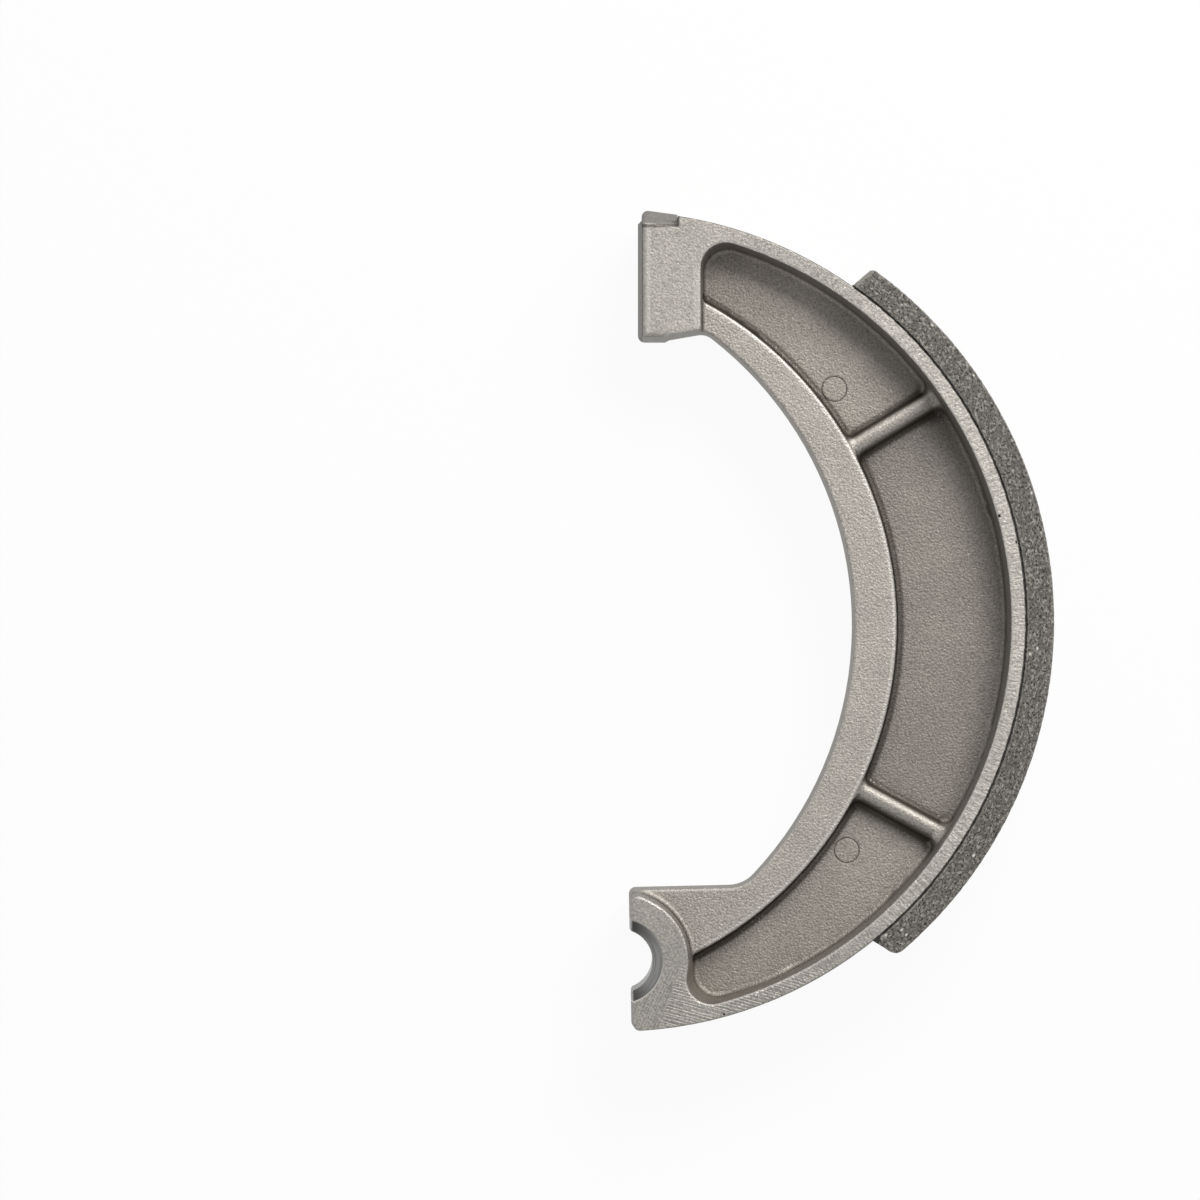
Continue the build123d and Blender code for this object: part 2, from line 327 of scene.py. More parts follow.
def node_group(name, inputs, outputs):
    """An empty shader node group with named inputs and outputs."""
    group = bpy.data.node_groups.new(name, "ShaderNodeTree")
    for title, kind, default in inputs:
        group.interface.new_socket(title, in_out="INPUT", socket_type=kind).default_value = default
    for title, kind in outputs:
        group.interface.new_socket(title, in_out="OUTPUT", socket_type=kind)
    given = group.nodes.new("NodeGroupInput").outputs
    result = group.nodes.new("NodeGroupOutput").inputs
    return group, given, result


def placed(tree, group, **inputs):
    """A shared group placed in a material with its own values."""
    named = {title.replace("_", " "): value for title, value in inputs.items()}
    return shader_node(tree, "ShaderNodeGroup", {"node_tree": group}, named).outputs


# Where a point of the shoe is, in millimetres, and how level its surface is: 1 on a level face.
shoe_places, given, result = node_group("shoe_places", [], [("Place", vector), ("Level", number)])
spots = shader_node(shoe_places, "ShaderNodeTexCoord").outputs
feed(result["Place"], vector_calc(shoe_places, "MULTIPLY", spots["Object"], millimetres))
feed(result["Level"], calc(shoe_places, "ABSOLUTE", split(shoe_places, spots["Normal"])["Z"]))

# Grit: the fine leathery relief of a blasted skin, with the shade it gives and its glints.
grit, given, result = node_group(
    "grit",
    [("Place", vector, (0, 0, 0)), ("Waves per mm", number, 2.2)],
    [("Height", number), ("Shade", number), ("Glint", number)],
)
coarse = clouds(grit, given["Place"], given["Waves per mm"], 2.0, 0.55)
dimples = shader_node(grit, "ShaderNodeTexVoronoi", {"feature": "SMOOTH_F1"})
feed(dimples.inputs["Vector"], given["Place"])
feed(dimples.inputs["Scale"], calc(grit, "MULTIPLY", given["Waves per mm"], 0.95))
feed(dimples.inputs["Smoothness"], 0.35)
raised = calc(grit, "MULTIPLY", coarse, 1.3)
height = calc(grit, "MULTIPLY_ADD", dimples.outputs["Distance"], -0.45, raised)
grain_shade = calc(grit, "MULTIPLY_ADD", height, 0.85, 0.66)
broad_shade = ramped(grit, clouds(grit, given["Place"], 0.14, 2.0), 0.3, 0.7, 0.95, 1.05)
away, own = grains(grit, given["Place"], 1.7)
feed(result["Height"], height)
feed(result["Shade"], calc(grit, "MULTIPLY", grain_shade, broad_shade))
feed(result["Glint"], product(grit, ramped(grit, away, 0.12, 0.30, 1.0, 0.0), ramped(grit, own, 0.70, 0.95)))

# Edges and corners: the rounded normal, the outer edges for wear and painted highlights, the tight creases
# and the deep places.
edges_and_creases, given, result = node_group(
    "edges_and_creases",
    [("Round", number, 0.0005), ("Crease Reach", number, 0.003), ("Deep Reach", number, 0.014)],
    [("Normal", vector), ("Edge", number), ("Crease", number), ("Deep", number)],
)
tree = edges_and_creases
rounded = shader_node(tree, "ShaderNodeBevel", {"samples": 4}, {"Radius": given["Round"]}).outputs[0]
true_normal = shader_node(tree, "ShaderNodeNewGeometry").outputs["True Normal"]
turn = calc(tree, "SUBTRACT", 1.0, vector_calc(tree, "DOT_PRODUCT", rounded, true_normal, result=1))
shut_in = []
for reach in ("Crease Reach", "Deep Reach"):
    around = shader_node(tree, "ShaderNodeAmbientOcclusion", {"samples": 4, "only_local": True})
    feed(around.inputs["Distance"], given[reach])
    shut_in.append(outside(tree, around.outputs["AO"]))
crease, deep = shut_in
turned_away = ramped(tree, turn, 0.015, 0.12)
not_shut_in = ramped(tree, crease, 0.06, 0.24, 1.0, 0.0)
feed(result["Normal"], rounded)
feed(result["Edge"], calc(tree, "MULTIPLY", turned_away, not_shut_in))
feed(result["Crease"], crease)
feed(result["Deep"], deep)

# Scratches that run along the X of the place they are given, from a sanding belt or a lathe tool.
scratches, given, result = node_group(
    "scratches",
    [("Place", vector, (0, 0, 0)), ("Lines per mm", number, 2.0), ("Length", number, 6.0)],
    [("Line", number), ("Hatch", number)],
)
tree = scratches
full_turn = 6.283
stretched = split(tree, given["Place"])
along = calc(tree, "DIVIDE", stretched["X"], given["Length"])
streak_place = joined(tree, along, stretched["Y"], stretched["Z"])
streak = clouds(tree, streak_place, given["Lines per mm"], 2.0, 0.6)
across = product(tree, stretched["Y"], given["Lines per mm"], full_turn)
wave = calc(tree, "SINE", calc(tree, "MULTIPLY_ADD", streak, 9.0, across))
feed(result["Line"], streak)
feed(result["Hatch"], calc(tree, "MULTIPLY_ADD", wave, calc(tree, "MULTIPLY", streak, 0.6), 0.5))

# The bond's black squeeze-out, a ragged line on both sides of it, as far as the lining reaches.
bond_smear, given, result = node_group("bond_smear", [("Place", vector, (0, 0, 0))], [("Mask", number)])
tree = bond_smear
at = split(tree, given["Place"])
from_bond = calc(tree, "SUBTRACT", distance_from(tree, at, *table_centre), bond_radius)
from_bond = calc(tree, "ABSOLUTE", from_bond)
ragged = clouds(tree, given["Place"], 0.9, 3.0, 0.7)
ragged = ramped(tree, ragged, 0.40, 0.80, 0.06, 0.30, smooth=False)
black = ramped(tree, calc(tree, "DIVIDE", from_bond, ragged), 0.8, 1.2, 1.0, 0.0)
lining_middle = radians((lining_top + lining_bottom) / 2)
lining_half_arc = radians((lining_top - lining_bottom) / 2)
by_lining = calc(tree, "COMPARE", angle_about(tree, at, *drum_centre), lining_middle, lining_half_arc)
feed(result["Mask"], calc(tree, "MULTIPLY", black, by_lining))

casting_metal = bpy.data.materials.new("cast_aluminium_shot_blasted")
casting_metal.use_nodes = True
tree = casting_metal.node_tree
metal = tree.nodes["Principled BSDF"]
here = placed(tree, shoe_places)
at = split(tree, here["Place"])
skin = placed(tree, grit, Place=here["Place"], Waves_per_mm=2.7)

# Where a point lies on the casting: its slope and height, and how far it is from each form.
level = ramped(tree, here["Level"], 0.90, 0.995)
steep = ramped(tree, here["Level"], 0.85, 0.30)
height_above = calc(tree, "ABSOLUTE", at["Z"])
from_table = distance_from(tree, at, *table_centre)
about_table = angle_about(tree, at, *table_centre)
table_arc = calc(tree, "MULTIPLY", about_table, rim_arc_radius)
from_flange = distance_from(tree, at, *flange_centre)
rib_sides = [side_of_line(tree, at, *rib) for rib in ribs]
from_ribs = calc(tree, "MINIMUM", *(calc(tree, "ABSOLUTE", side) for side in rib_sides))
past_flange = ramped(tree, from_flange, flange_radius - 0.5, flange_radius - 0.2)
before_table = ramped(tree, from_table, table_wall_radius + 0.3, table_wall_radius - 0.3)
past_block = ramped(tree, at["X"], *block_passed)
on_side = product(tree, ramped(tree, height_above, side_height - 0.1, side_height + 0.1), level)
on_rim = product(tree, ramped(tree, from_table, 66.5, 68.0), ramped(tree, at["X"], *rim_begins))
on_boss = ramped(tree, at["Y"], 1.0, -3.0)
on_tip = product(
    tree,
    ramped(tree, at["X"], tip_corner[0] + 0.1, tip_corner[0]),
    ramped(tree, at["Y"], tip_corner[1], tip_corner[1] + 0.3),
)
on_rib = product(
    tree,
    ramped(tree, height_above, 3.4, 4.4),
    ramped(tree, height_above, rib_height + 0.3, rib_height),
    past_flange,
    before_table,
    ramped(tree, at["X"], *ribs_begin),
)
low_pocket = product(
    tree,
    ramped(tree, height_above, 5.2, 4.0),
    past_flange,
    ramped(tree, from_table, 68.5, 67.5),
    past_block,
)
on_web = product(tree, ramped(tree, height_above, web_height + 1.2, web_height + 0.1), level)
on_web = calc(tree, "MAXIMUM", on_web, low_pocket)
between_ribs = product(tree, ramped(tree, rib_sides[0], 0.0, -1.0), ramped(tree, rib_sides[1], 0.0, 1.0))
far_up = ramped(tree, about_table, radians(50), radians(64))

# Cast edges are rounded, most of all on the ribs, and the turned edge at the bond is nearly sharp.
edge_round = ramped(tree, on_rib, 0.0, 1.0, 0.0005, 0.0010, smooth=False)
sharpness = ramped(tree, from_table, bond_radius - 0.5, bond_radius - 1.1, 0.1, 1.0)
edge_round = calc(tree, "MULTIPLY", edge_round, sharpness)
form = placed(tree, edges_and_creases, Round=edge_round, Crease_Reach=0.0028, Deep_Reach=0.013)

# The belt's scratches lie two ways on the boss, and across the rim between it and the cam block.
rim_place = joined(tree, from_table, table_arc)
across_rim = placed(tree, scratches, Place=rim_place, Lines_per_mm=1.6, Length=4.0)["Line"]
about_pin_axis = {"rotation_type": "Z_AXIS"}
boss_lines = []
for slope in linish_slopes:
    turned = shader_node(tree, "ShaderNodeVectorRotate", about_pin_axis, {"Vector": here["Place"]})
    turned.inputs["Angle"].default_value = radians(-slope)
    lines = placed(tree, scratches, Place=turned.outputs[0], Lines_per_mm=1.9, Length=24.0)["Hatch"]
    boss_lines.append(lines)
past_change = calc(tree, "MULTIPLY_ADD", at["Y"], -linish_change_lean, at["X"])
past_change = ramped(tree, past_change, *linish_change)
lines_apart = calc(tree, "SUBTRACT", boss_lines[1], boss_lines[0])
across_boss = calc(tree, "MULTIPLY_ADD", past_change, lines_apart, boss_lines[0])
rim_shade = product(tree, calc(tree, "SUBTRACT", across_rim, 0.5), on_rim, 1.3)
boss_shade = product(tree, calc(tree, "SUBTRACT", across_boss, 0.5), on_boss, 0.55)
line_shade = calc(tree, "MULTIPLY", calc(tree, "ADD", rim_shade, boss_shade), on_side)

# The lathe's fine rings run round the turned table, and the die's trimmed parting line round the rest.
on_tip_side = product(tree, ramped(tree, at["X"], 10.0, 9.8), ramped(tree, at["Y"], 60.0, 65.0))
on_turned = product(tree, band(tree, from_table, *turned_band, 0.05), steep, outside(tree, on_tip_side))
ring_place = joined(tree, table_arc, at["Z"])
lathe_rings = placed(tree, scratches, Place=ring_place, Lines_per_mm=2.6, Length=30.0)["Line"]
line_shade = calc(tree, "MULTIPLY_ADD", calc(tree, "SUBTRACT", lathe_rings, 0.5), on_turned, line_shade)
trimmed = ramped(tree, clouds(tree, here["Place"], 0.35, 2.0), 0.35, 0.65, 0.10, 0.30, smooth=False)
parting_line = ramped(tree, calc(tree, "DIVIDE", height_above, trimmed), 0.7, 1.2, 1.0, 0.0)
parting_line = product(tree, parting_line, steep, outside(tree, on_turned))

# The skin is greyer in the pockets than on the linished sides, partly a duller skin and partly
# painted shade of the recesses, and it is painted darker the deeper it lies, where shade falls.
colour_now = mixed(tree, on_side, blasted_colour, linished_colour)
colour_now = mixed(tree, on_web, colour_now, pocket_colour)
lit = calc(tree, "MULTIPLY_ADD", line_shade, 0.75, skin["Shade"])
lit = calc(tree, "MULTIPLY", lit, ramped(tree, form["Deep"], 0.10, 0.75, 1.0, 0.80))
# Painted light: the rim is lighter near its middle and darker towards its ends, as the light falls.
rim_angle = calc(tree, "ABSOLUTE", about_table)
rim_light = ramped(tree, rim_angle, radians(35), radians(70), *rim_light_tones, smooth=False)
rim_change = product(tree, calc(tree, "SUBTRACT", rim_light, 1.0), on_rim, on_side)
lit = calc(tree, "MULTIPLY_ADD", lit, rim_change, lit)
# The middle pocket's floor is darker than the others. A painted shadow of the upper rib darkens the floor
# below it, and painted light lightens the floor where the table wall's shadow falls at the top.
web_tone = ramped(tree, between_ribs, 0.0, 1.0, *web_tones)
shadow_under_rib = product(tree, between_ribs, ramped(tree, rib_sides[0], -14.0, -5.0, 0.0, 0.13))
web_tone = calc(tree, "SUBTRACT", web_tone, shadow_under_rib)
light_under_table = product(tree, far_up, ramped(tree, from_table, 59.0, 65.0))
web_tone = calc(tree, "MULTIPLY_ADD", light_under_table, 0.40, web_tone)
web_change = product(tree, calc(tree, "SUBTRACT", web_tone, 1.0), on_web)
lit = calc(tree, "MULTIPLY_ADD", lit, web_change, lit)
# Painted shade makes every steep wall darker.
lit = dimmed(tree, lit, steep, wall_shade_tone)

# The ribs have a painted highlight on the crest and painted shade on the flanks, broader on the side away
# from the cam block.
rib_flank = product(tree, on_rib, ramped(tree, from_ribs, 1.3, 2.3))
lit = dimmed(tree, lit, rib_flank, rib_flank_shade_tone)
for side in rib_sides:
    lower_flank = product(tree, ramped(tree, side, -0.5, -1.8), ramped(tree, side, -4.0, -3.4), on_rib)
    crest = product(tree, band(tree, side, 0.2, 1.4, 0.5), on_rib)
    lit = dimmed(tree, lit, lower_flank, lower_flank_shade_tone)
    lit = dimmed(tree, lit, crest, crest_highlight_tone)

# Painted shade darkens the flange's wall, the corner below the upper rib and the cam block's near wall,
# and the tip, which was left as cast, has a darker tone of its own.
flange_wall = product(
    tree,
    steep,
    band(tree, from_flange, *flange_wall_band, 0.08),
    ramped(tree, height_above, flange_height - 0.1, flange_height - 0.5),
    past_block,
)
rib_corner = product(
    tree,
    ramped(tree, rib_sides[0], -5.0, -2.2),
    on_web,
    between_ribs,
    ramped(tree, from_table, 62.0, 65.5),
)
above_underside = ramped(tree, at["Y"], block_underside, block_underside + 0.4)
block_wall = product(tree, ramped(tree, at["X"], 3.98, 3.74), above_underside)
lit = dimmed(tree, lit, flange_wall, flange_wall_shade_tone)
lit = dimmed(tree, lit, rib_corner, rib_corner_shadow_tone)
lit = dimmed(tree, lit, block_wall, block_wall_shade_tone)
lit = dimmed(tree, lit, on_tip, tip_tone)
tip_grain = ramped(tree, clouds(tree, here["Place"], 2.4), 0.3, 0.7, -0.22, 0.22)
lit = calc(tree, "MULTIPLY_ADD", lit, calc(tree, "MULTIPLY", on_tip, tip_grain), lit)
tone = shader_node(tree, "ShaderNodeCombineColor", None, {0: lit, 1: lit, 2: lit}).outputs[0]
colour_now = mixed(tree, 1.0, colour_now, tone, "MULTIPLY")

# Painted shade darkens the pockets' walls, the creases, and the roots of flange and ribs.
wall_mask = product(tree, steep, ramped(tree, form["Deep"], 0.18, 0.50), 0.75)
colour_now = mixed(tree, wall_mask, colour_now, wall_shade_colour)
crease = product(tree, ramped(tree, form["Crease"], 0.20, 0.62), 0.85)
crease = dimmed(tree, crease, product(tree, on_web, far_up), 0.45)
colour_now = mixed(tree, crease, colour_now, painted_shade_colour)
by_flange = ramped(tree, from_flange, flange_radius + 1.30, flange_radius + 0.65)
by_ribs = ramped(tree, from_ribs, rib_half_width + 0.9, rib_half_width + 0.2)
web_root = product(
    tree,
    calc(tree, "MAXIMUM", by_flange, by_ribs),
    ramped(tree, height_above, 6.0, 4.6),
    past_flange,
    before_table,
    ramped(tree, form["Deep"], 0.06, 0.16),
)
plateau_root = product(
    tree,
    ramped(tree, height_above, flange_height + 0.04, flange_height + 0.25),
    ramped(tree, height_above, flange_height + 1.8, flange_height + 0.9),
    ramped(tree, form["Crease"], 0.08, 0.20),
)
roots = product(tree, calc(tree, "MAXIMUM", web_root, plateau_root), root_shade)
colour_now = mixed(tree, roots, colour_now, painted_shade_colour)

# The outer edges are painted pale, partly from wear by handling and partly as a painted highlight,
# those of the flange, rim and cam block most of all.
flange_top = ramped(tree, height_above, flange_height + 0.03, flange_height + 0.01)
at_flange = product(tree, ramped(tree, height_above, 4.6, 5.4), flange_top)
worn_height = calc(tree, "MAXIMUM", at_flange, ramped(tree, height_above, 11.2, 11.7))
wear_and_highlight_edge = product(
    tree,
    form["Edge"],
    worn_height,
    ramped(tree, from_table, bond_radius - 0.7, bond_radius - 1.1),
    ramped(tree, at["Y"], 127.2, 126.8),
)
# Painted highlight lines along the edges of the flange, the rim and the cam block.
flange_edge = product(
    tree,
    band(tree, from_flange, *flange_edge_band, 0.16),
    band(tree, height_above, flange_height - 0.5, flange_height + 0.02, 0.01),
    ramped(tree, form["Crease"], 0.40, 0.20),
)
rim_edge = band(tree, from_table, rim_inner_radius, rim_inner_radius + 0.3, 0.12)
rim_edge = product(tree, rim_edge, on_side, on_rim)
block_near_edge = product(
    tree,
    band(tree, at["X"], *block_near_band, 0.20),
    on_side,
    ramped(tree, at["Y"], block_underside + 0.5, block_underside + 1.5),
    ramped(tree, at["Y"], 127.8, 127.2),
)
block_far_edge = product(
    tree,
    band(tree, at["X"], *block_far_band, 0.25),
    on_side,
    ramped(tree, at["Y"], 121.0, 119.0),
    ramped(tree, at["Y"], block_underside, block_underside + 1.0),
)
edge_shares = ((flange_edge, 0.62), (rim_edge, 0.75), (block_near_edge, 0.80), (block_far_edge, 0.70))
for edge, share in edge_shares:
    wear_and_highlight_edge = calc(tree, "MAXIMUM", wear_and_highlight_edge, calc(tree, "MULTIPLY", edge, share))
colour_now = mixed(tree, calc(tree, "MULTIPLY", wear_and_highlight_edge, edge_wear_and_highlight), colour_now, wear_and_highlight_colour)
colour_now = mixed(tree, calc(tree, "MULTIPLY", parting_line, parting_line_wear), colour_now, linished_colour)
# Painted glints lighten scattered grains of the skin.
colour_now = mixed(tree, calc(tree, "MULTIPLY", skin["Glint"], glint_highlight_share), colour_now, wear_and_highlight_colour)

# A painted shadow line lies where the tip, left as cast, drops below the linished side.
tip_foot = product(tree, band(tree, at["Y"], *tip_foot_band, 0.12), ramped(tree, at["X"], 10.2, 9.9))
tip_side = product(tree, band(tree, at["X"], *tip_side_band, 0.06), ramped(tree, at["Y"], 126.9, 127.2))
tip_shadow_line = calc(tree, "MAXIMUM", tip_foot, tip_side)
tip_shadow_line = product(tree, tip_shadow_line, ramped(tree, height_above, 6.0, 11.0), 0.65)
colour_now = mixed(tree, tip_shadow_line, colour_now, painted_shade_colour)

# A few pits and bright nicks mark the linished side: each one's place, radius and colour.
nicks = (
    ((65.40, 77.04), 0.30, pit_colour),
    ((68.50, 72.55), 0.32, pit_colour),
    ((17.85, -9.15), 0.22, pit_colour),
    ((23.38, -5.62), 0.22, wear_and_highlight_colour),
    ((20.96, -7.52), 0.20, wear_and_highlight_colour),
)
for nick_place, nick_radius, nick_colour in nicks:
    from_nick = distance_from(tree, at, *nick_place)
    inside_nick = ramped(tree, from_nick, nick_radius * 0.6, nick_radius * 1.3, 1.0, 0.0)
    colour_now = mixed(tree, calc(tree, "MULTIPLY", inside_nick, on_side), colour_now, nick_colour)
squeeze_out = placed(tree, bond_smear, Place=here["Place"])["Mask"]
colour_now = mixed(tree, squeeze_out, colour_now, pit_colour)

# The bored seat keeps the fine rings of the boring tool. It is painted lit on one side and painted in shade
# towards its two ends, with a painted highlight along the chamfer's lower edge.
from_pin = distance_from(tree, at, 0.0, 0.0)
about_pin = angle_about(tree, at, 0.0, 0.0)
on_seat = ramped(tree, from_pin, seat_chamfer_radius + 0.06, seat_chamfer_radius - 0.02)
bore_place = joined(tree, calc(tree, "MULTIPLY", about_pin, 3.0), from_pin, at["Z"])
bore_rings = placed(tree, scratches, Place=bore_place, Lines_per_mm=2.8, Length=8.0)["Line"]
facing_hub = ramped(tree, calc(tree, "COSINE", about_pin), 0.25, 1.0)
seat_lit_share = product(tree, facing_hub, ramped(tree, bore_rings, 0.35, 0.65, 0.6, 1.0))
seat_colour = mixed(tree, seat_lit_share, bored_shaded, bored_lit)
seat_colour = mixed(tree, calc(tree, "MULTIPLY", form["Edge"], 0.5), seat_colour, wear_and_highlight_colour)
seat_rim_highlight = band(tree, from_pin, seat_chamfer_radius - 0.12, seat_chamfer_radius + 0.06, 0.05)
seat_rim_highlight = product(tree, seat_rim_highlight, ramped(tree, calc(tree, "SINE", about_pin), 0.5, -0.6, 0.25, 0.9))
colour_now = mixed(tree, on_seat, colour_now, seat_colour)
colour_now = mixed(tree, seat_rim_highlight, colour_now, wear_and_highlight_colour)
feed(metal.inputs["Base Color"], colour_now)

# Worn, turned and bored metal shines more than the blasted skin, and has less of its relief.
metal.inputs["Metallic"].default_value = casting_metallic
roughness = ramped(tree, on_side, 0.0, 1.0, skin_roughness, side_roughness)
polished = calc(tree, "MAXIMUM", wear_and_highlight_edge, on_turned)
roughness = calc(tree, "MULTIPLY_ADD", polished, -worn_polish, roughness)
roughness = calc(tree, "MULTIPLY_ADD", skin["Glint"], -glint_polish, roughness)
roughness = calc(tree, "MULTIPLY_ADD", on_seat, -seat_polish, roughness)
feed(metal.inputs["Roughness"], roughness)
relief = skin["Height"]
for machined, left in ((on_side, 0.5), (on_turned, 0.15), (parting_line, 0.3), (on_seat, 0.03)):
    relief = dimmed(tree, relief, machined, left)
relief = calc(tree, "MULTIPLY_ADD", line_shade, 0.8, relief)
for side in rib_sides:
    from_crest = calc(tree, "SUBTRACT", side, rib_crest_offset)
    by_rib = ramped(tree, calc(tree, "ABSOLUTE", side), 3.6, 2.8)
    crown = product(tree, from_crest, from_crest, by_rib, on_rib)
    relief = calc(tree, "MULTIPLY_ADD", crown, -rib_crown, relief)
bumped = shader_node(tree, "ShaderNodeBump", None, {"Height": relief, "Normal": form["Normal"]})
bumped.inputs["Distance"].default_value = skin_relief
bumped.inputs["Strength"].default_value = 1.0
feed(metal.inputs["Normal"], bumped.outputs[0])
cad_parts["shoe_casting"].data.materials[0] = casting_metal


# The friction lining is a moulded mix of resin, mineral fibre and metal chips, bonded to the
# table and then ground to the drum's radius, which leaves its surface open and stony.
drum_radius = 75.0
film_thickness = 0.1
lining_half_width = 12.5
top_lean = -15.0
bottom_lean = 19.0
top_round = 0.8
bottom_round = 1.4
top_bevel = 0.6
side_round = 0.2
bead_cut = (0.75, 1.5)
stone_depth = 0.11
stone_waves = 1.3
stone_deepest = 1.3
cells_across = 72
cells_deep = 12
cells_along = 384
grain_radius = 73.0
grain_stretch = 0.65
lining_colour = (0.150, 0.141, 0.129, 1.0)
lining_pale = (0.420, 0.400, 0.364, 1.0)
lining_dark = (0.030, 0.028, 0.026, 1.0)
chip_colour = (0.700, 0.680, 0.620, 1.0)
lining_specular = 0.35
lining_relief = 0.00010


def bond_reach(angle):
    """How far the lining's inner face stands from the drum's centre at an angle in radians."""
    offset = -table_centre[0]
    return sqrt((bond_radius + film_thickness) ** 2 - (offset * sin(angle)) ** 2) - offset * cos(angle)


def end_angle(corner_angle, lean, radius):
    """The angle at which the lining's leaning end crosses a radius about the drum's centre."""
    corner = bond_reach(radians(corner_angle))
    sideways = corner * sin(radians(lean))
    return radians(corner_angle + lean) + atan2(-sideways, sqrt(radius**2 - sideways**2))


def eased(first, second, radius):
    """Distances below two faces that meet, brought onto a round between them."""
    over_first = radius - first
    over_second = radius - second
    if over_first <= 0 or over_second <= 0:
        return first, second
    shrink = radius / hypot(over_first, over_second)
    return radius - over_first * shrink, radius - over_second * shrink


def bevelled(first, second, first_leg, second_leg):
    """Distances below two faces that meet, brought onto a bevel between them."""
    short = 1 - first / first_leg - second / second_leg
    if short <= 0:
        return first, second
    step = short / (first_leg**-2 + second_leg**-2)
    return first + step / first_leg, second + step / second_leg


def lining_point(across, deep, along):
    """A point of the lining's skin, from its place in a box of cells."""
    facing = 1 if 2 * across > cells_across else -1
    side = lining_half_width * (1 - abs(2 * across / cells_across - 1))
    middle = radians(lining_bottom + (lining_top - lining_bottom) * along / cells_along)
    thickness = drum_radius - bond_reach(middle)
    inside = thickness * deep / cells_deep
    outer = thickness - inside
    low_end = end_angle(lining_bottom, bottom_lean, drum_radius)
    high_end = end_angle(lining_top, top_lean, drum_radius)
    length = (high_end - low_end) * drum_radius
    low = length * along / cells_along
    outer_high, high = eased(outer, length - low, top_round)
    outer_low, low = eased(outer, low, bottom_round)
    bonded, low = bevelled(inside, low, *bead_cut)
    side, high = bevelled(side, high, top_bevel, top_bevel)
    outer, side = eased(max(outer_high, outer_low), side, side_round)
    radius = min(drum_radius - outer, drum_radius) + bonded - inside
    start = end_angle(lining_bottom, bottom_lean, radius)
    end = end_angle(lining_top, top_lean, radius)
    share = low / length if along < cells_along / 2 else 1 - high / length
    angle = start + (end - start) * share
    height = facing * (lining_half_width - side)
    return Vector((radius * cos(angle), radius * sin(angle) + drum_centre[1], height))


def box_skin(*counts):
    """The grid places and the four-sided faces all round a box of cells."""
    numbers = {}
    faces = []
    for fixed in range(3):
        first, second = (axis for axis in range(3) if axis != fixed)
        for end in (0, counts[fixed]):
            for one in range(counts[first]):
                for two in range(counts[second]):
                    face = []
                    for step, other_step in ((0, 0), (1, 0), (1, 1), (0, 1)):
                        cell = [end, end, end]
                        cell[first] = one + step
                        cell[second] = two + other_step
                        face.append(numbers.setdefault(tuple(cell), len(numbers)))
                    faces.append(face)
    return list(numbers), faces


cells, faces = box_skin(cells_across, cells_deep, cells_along)
lining_mesh = bpy.data.meshes.new("stony_lining")
lining_mesh.from_pydata([lining_point(*cell) / 1000 for cell in cells], [], faces)
shaping = bmesh.new()
shaping.from_mesh(lining_mesh)
bmesh.ops.recalc_face_normals(shaping, faces=shaping.faces)
shaping.normal_update()
for point, (across, deep, along) in zip(shaping.verts, cells):
    bite = 0.5 + 0.5 * fractal(point.co * 1000 * stone_waves, 0.8, 2.0, 3)
    if deep > 0:
        point.co -= point.normal * stone_depth / 1000 * min(max(bite, 0.0), stone_deepest)
        point.co.z = min(max(point.co.z, cad_low.z), cad_high.z)
shaping.to_mesh(lining_mesh)
shaping.free()
lining_mesh.shade_smooth()
stony_lining = bpy.data.objects.new("stony_lining", lining_mesh)
bpy.context.scene.collection.objects.link(stony_lining)

friction_mix = bpy.data.materials.new("moulded_friction_compound")
friction_mix.use_nodes = True
tree = friction_mix.node_tree
mix = tree.nodes["Principled BSDF"]
here = placed(tree, shoe_places)
at = split(tree, here["Place"])
outwards = distance_from(tree, at, *drum_centre)
round_arc = calc(tree, "MULTIPLY", angle_about(tree, at, *drum_centre), grain_radius)
grain_place = joined(tree, outwards, calc(tree, "MULTIPLY", round_arc, grain_stretch), at["Z"])
form = placed(tree, edges_and_creases, Round=0.0004, Crease_Reach=0.002, Deep_Reach=0.006)
blot = clouds(tree, grain_place, 2.3, 3.0, 0.75)
flakes = clouds(tree, grain_place, 2.9, 2.0, 0.7)
colour_now = mixed(tree, ramped(tree, blot, 0.47, 0.68), lining_colour, lining_pale)
colour_now = mixed(tree, ramped(tree, flakes, 0.50, 0.36), colour_now, lining_dark)
colour_now = mixed(tree, calc(tree, "MULTIPLY", form["Edge"], 0.35), colour_now, lining_pale)
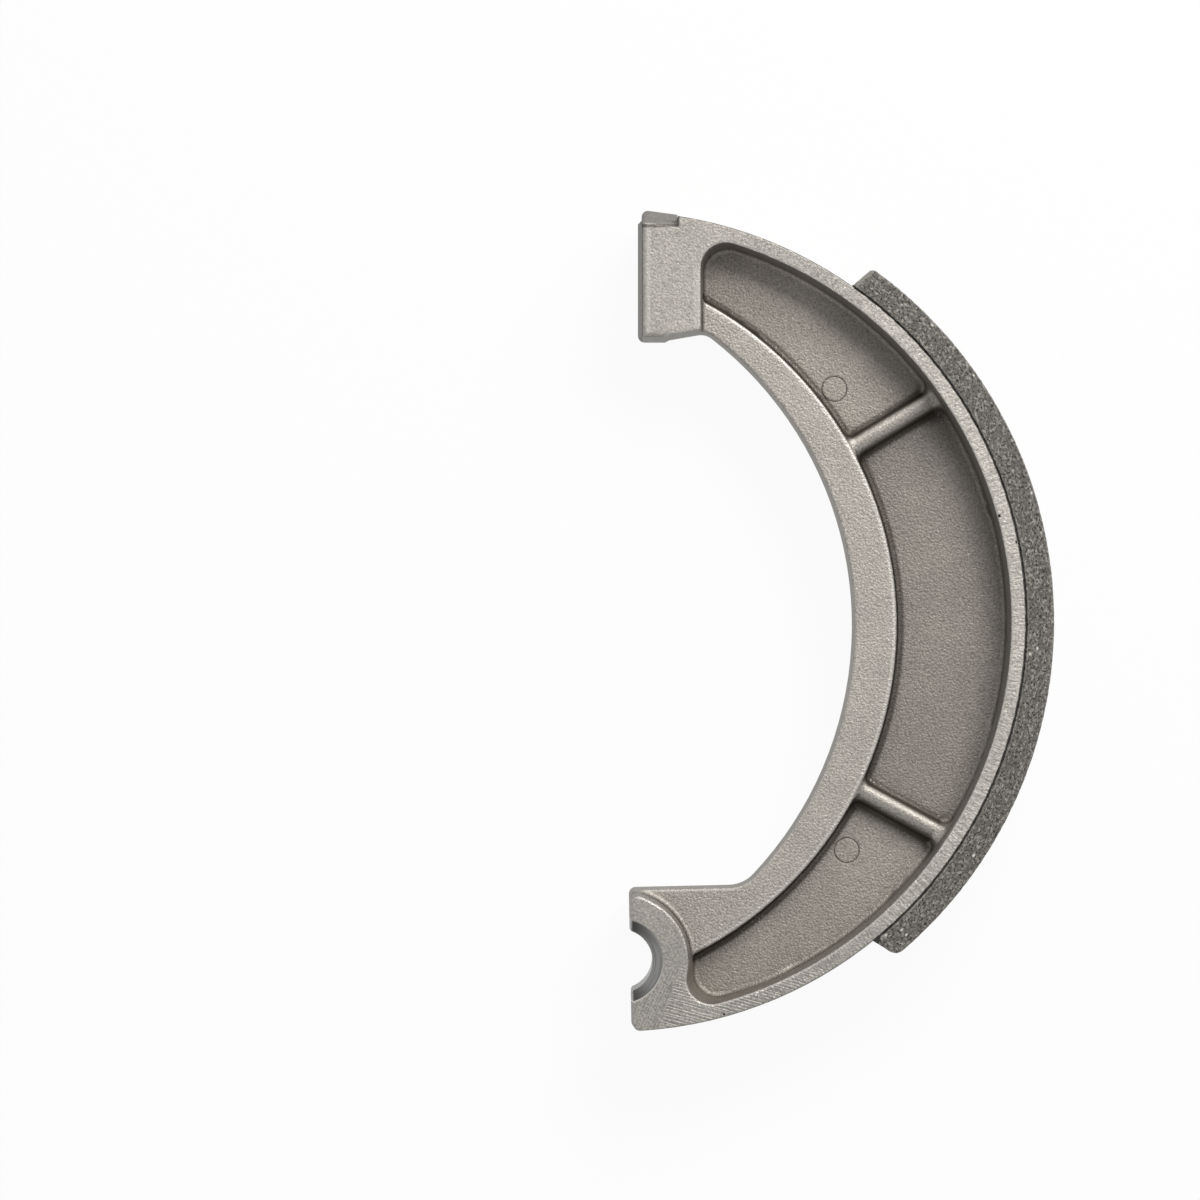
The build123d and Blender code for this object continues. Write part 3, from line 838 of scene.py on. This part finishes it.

# The bevel at the lining's top end is painted paler as a painted highlight, and bright metal chips are
# scattered all over.
top_foot = bond_reach(radians(lining_top))
top_corner = (top_foot * cos(radians(lining_top)), top_foot * sin(radians(lining_top)) + drum_centre[1])
from_top_end = side_of_line(tree, at, *top_corner, lining_top + top_lean)
top_end_highlight = calc(tree, "MULTIPLY", ramped(tree, from_top_end, -0.95, -0.50), 0.40)
colour_now = mixed(tree, top_end_highlight, colour_now, lining_pale)
away, own = grains(tree, grain_place, 0.9)
chip = product(tree, ramped(tree, away, 0.12, 0.24, 1.0, 0.0), ramped(tree, own, 0.86, 0.90))
colour_now = mixed(tree, chip, colour_now, chip_colour)
squeeze_out = placed(tree, bond_smear, Place=here["Place"])["Mask"]
colour_now = mixed(tree, squeeze_out, colour_now, pit_colour)
feed(mix.inputs["Base Color"], colour_now)
feed(mix.inputs["Roughness"], ramped(tree, blot, 0.3, 0.8, 0.88, 0.62))
mix.inputs["Specular IOR Level"].default_value = lining_specular
bumped = shader_node(tree, "ShaderNodeBump", None, {"Height": calc(tree, "ADD", blot, flakes)})
bumped.inputs["Distance"].default_value = lining_relief
feed(mix.inputs["Normal"], bumped.outputs[0])
lining_mesh.materials.append(friction_mix)
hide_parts("friction_lining")
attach(stony_lining, "root")


# The adhesive is a thin black film between table and lining, cured under pressure, with a bead
# that was squeezed out at the lining's lower end.
glue_colour = (0.008, 0.008, 0.008, 1.0)
glue_worn = (0.030, 0.027, 0.023, 1.0)
glue_relief = 0.0002

adhesive = bpy.data.materials.new("black_bonding_adhesive")
adhesive.use_nodes = True
tree = adhesive.node_tree
glue = tree.nodes["Principled BSDF"]
here = placed(tree, shoe_places)
runny = clouds(tree, here["Place"], 1.2, 3.0, 0.6)
feed(glue.inputs["Base Color"], mixed(tree, runny, glue_colour, glue_worn))
feed(glue.inputs["Roughness"], ramped(tree, runny, 0.3, 0.7, 0.4, 0.7))
bumped = shader_node(tree, "ShaderNodeBump", None, {"Height": runny})
bumped.inputs["Distance"].default_value = glue_relief
feed(glue.inputs["Normal"], bumped.outputs[0])
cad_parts["adhesive_film"].data.materials[0] = adhesive


bpy.context.scene.view_settings.view_transform = "Standard"
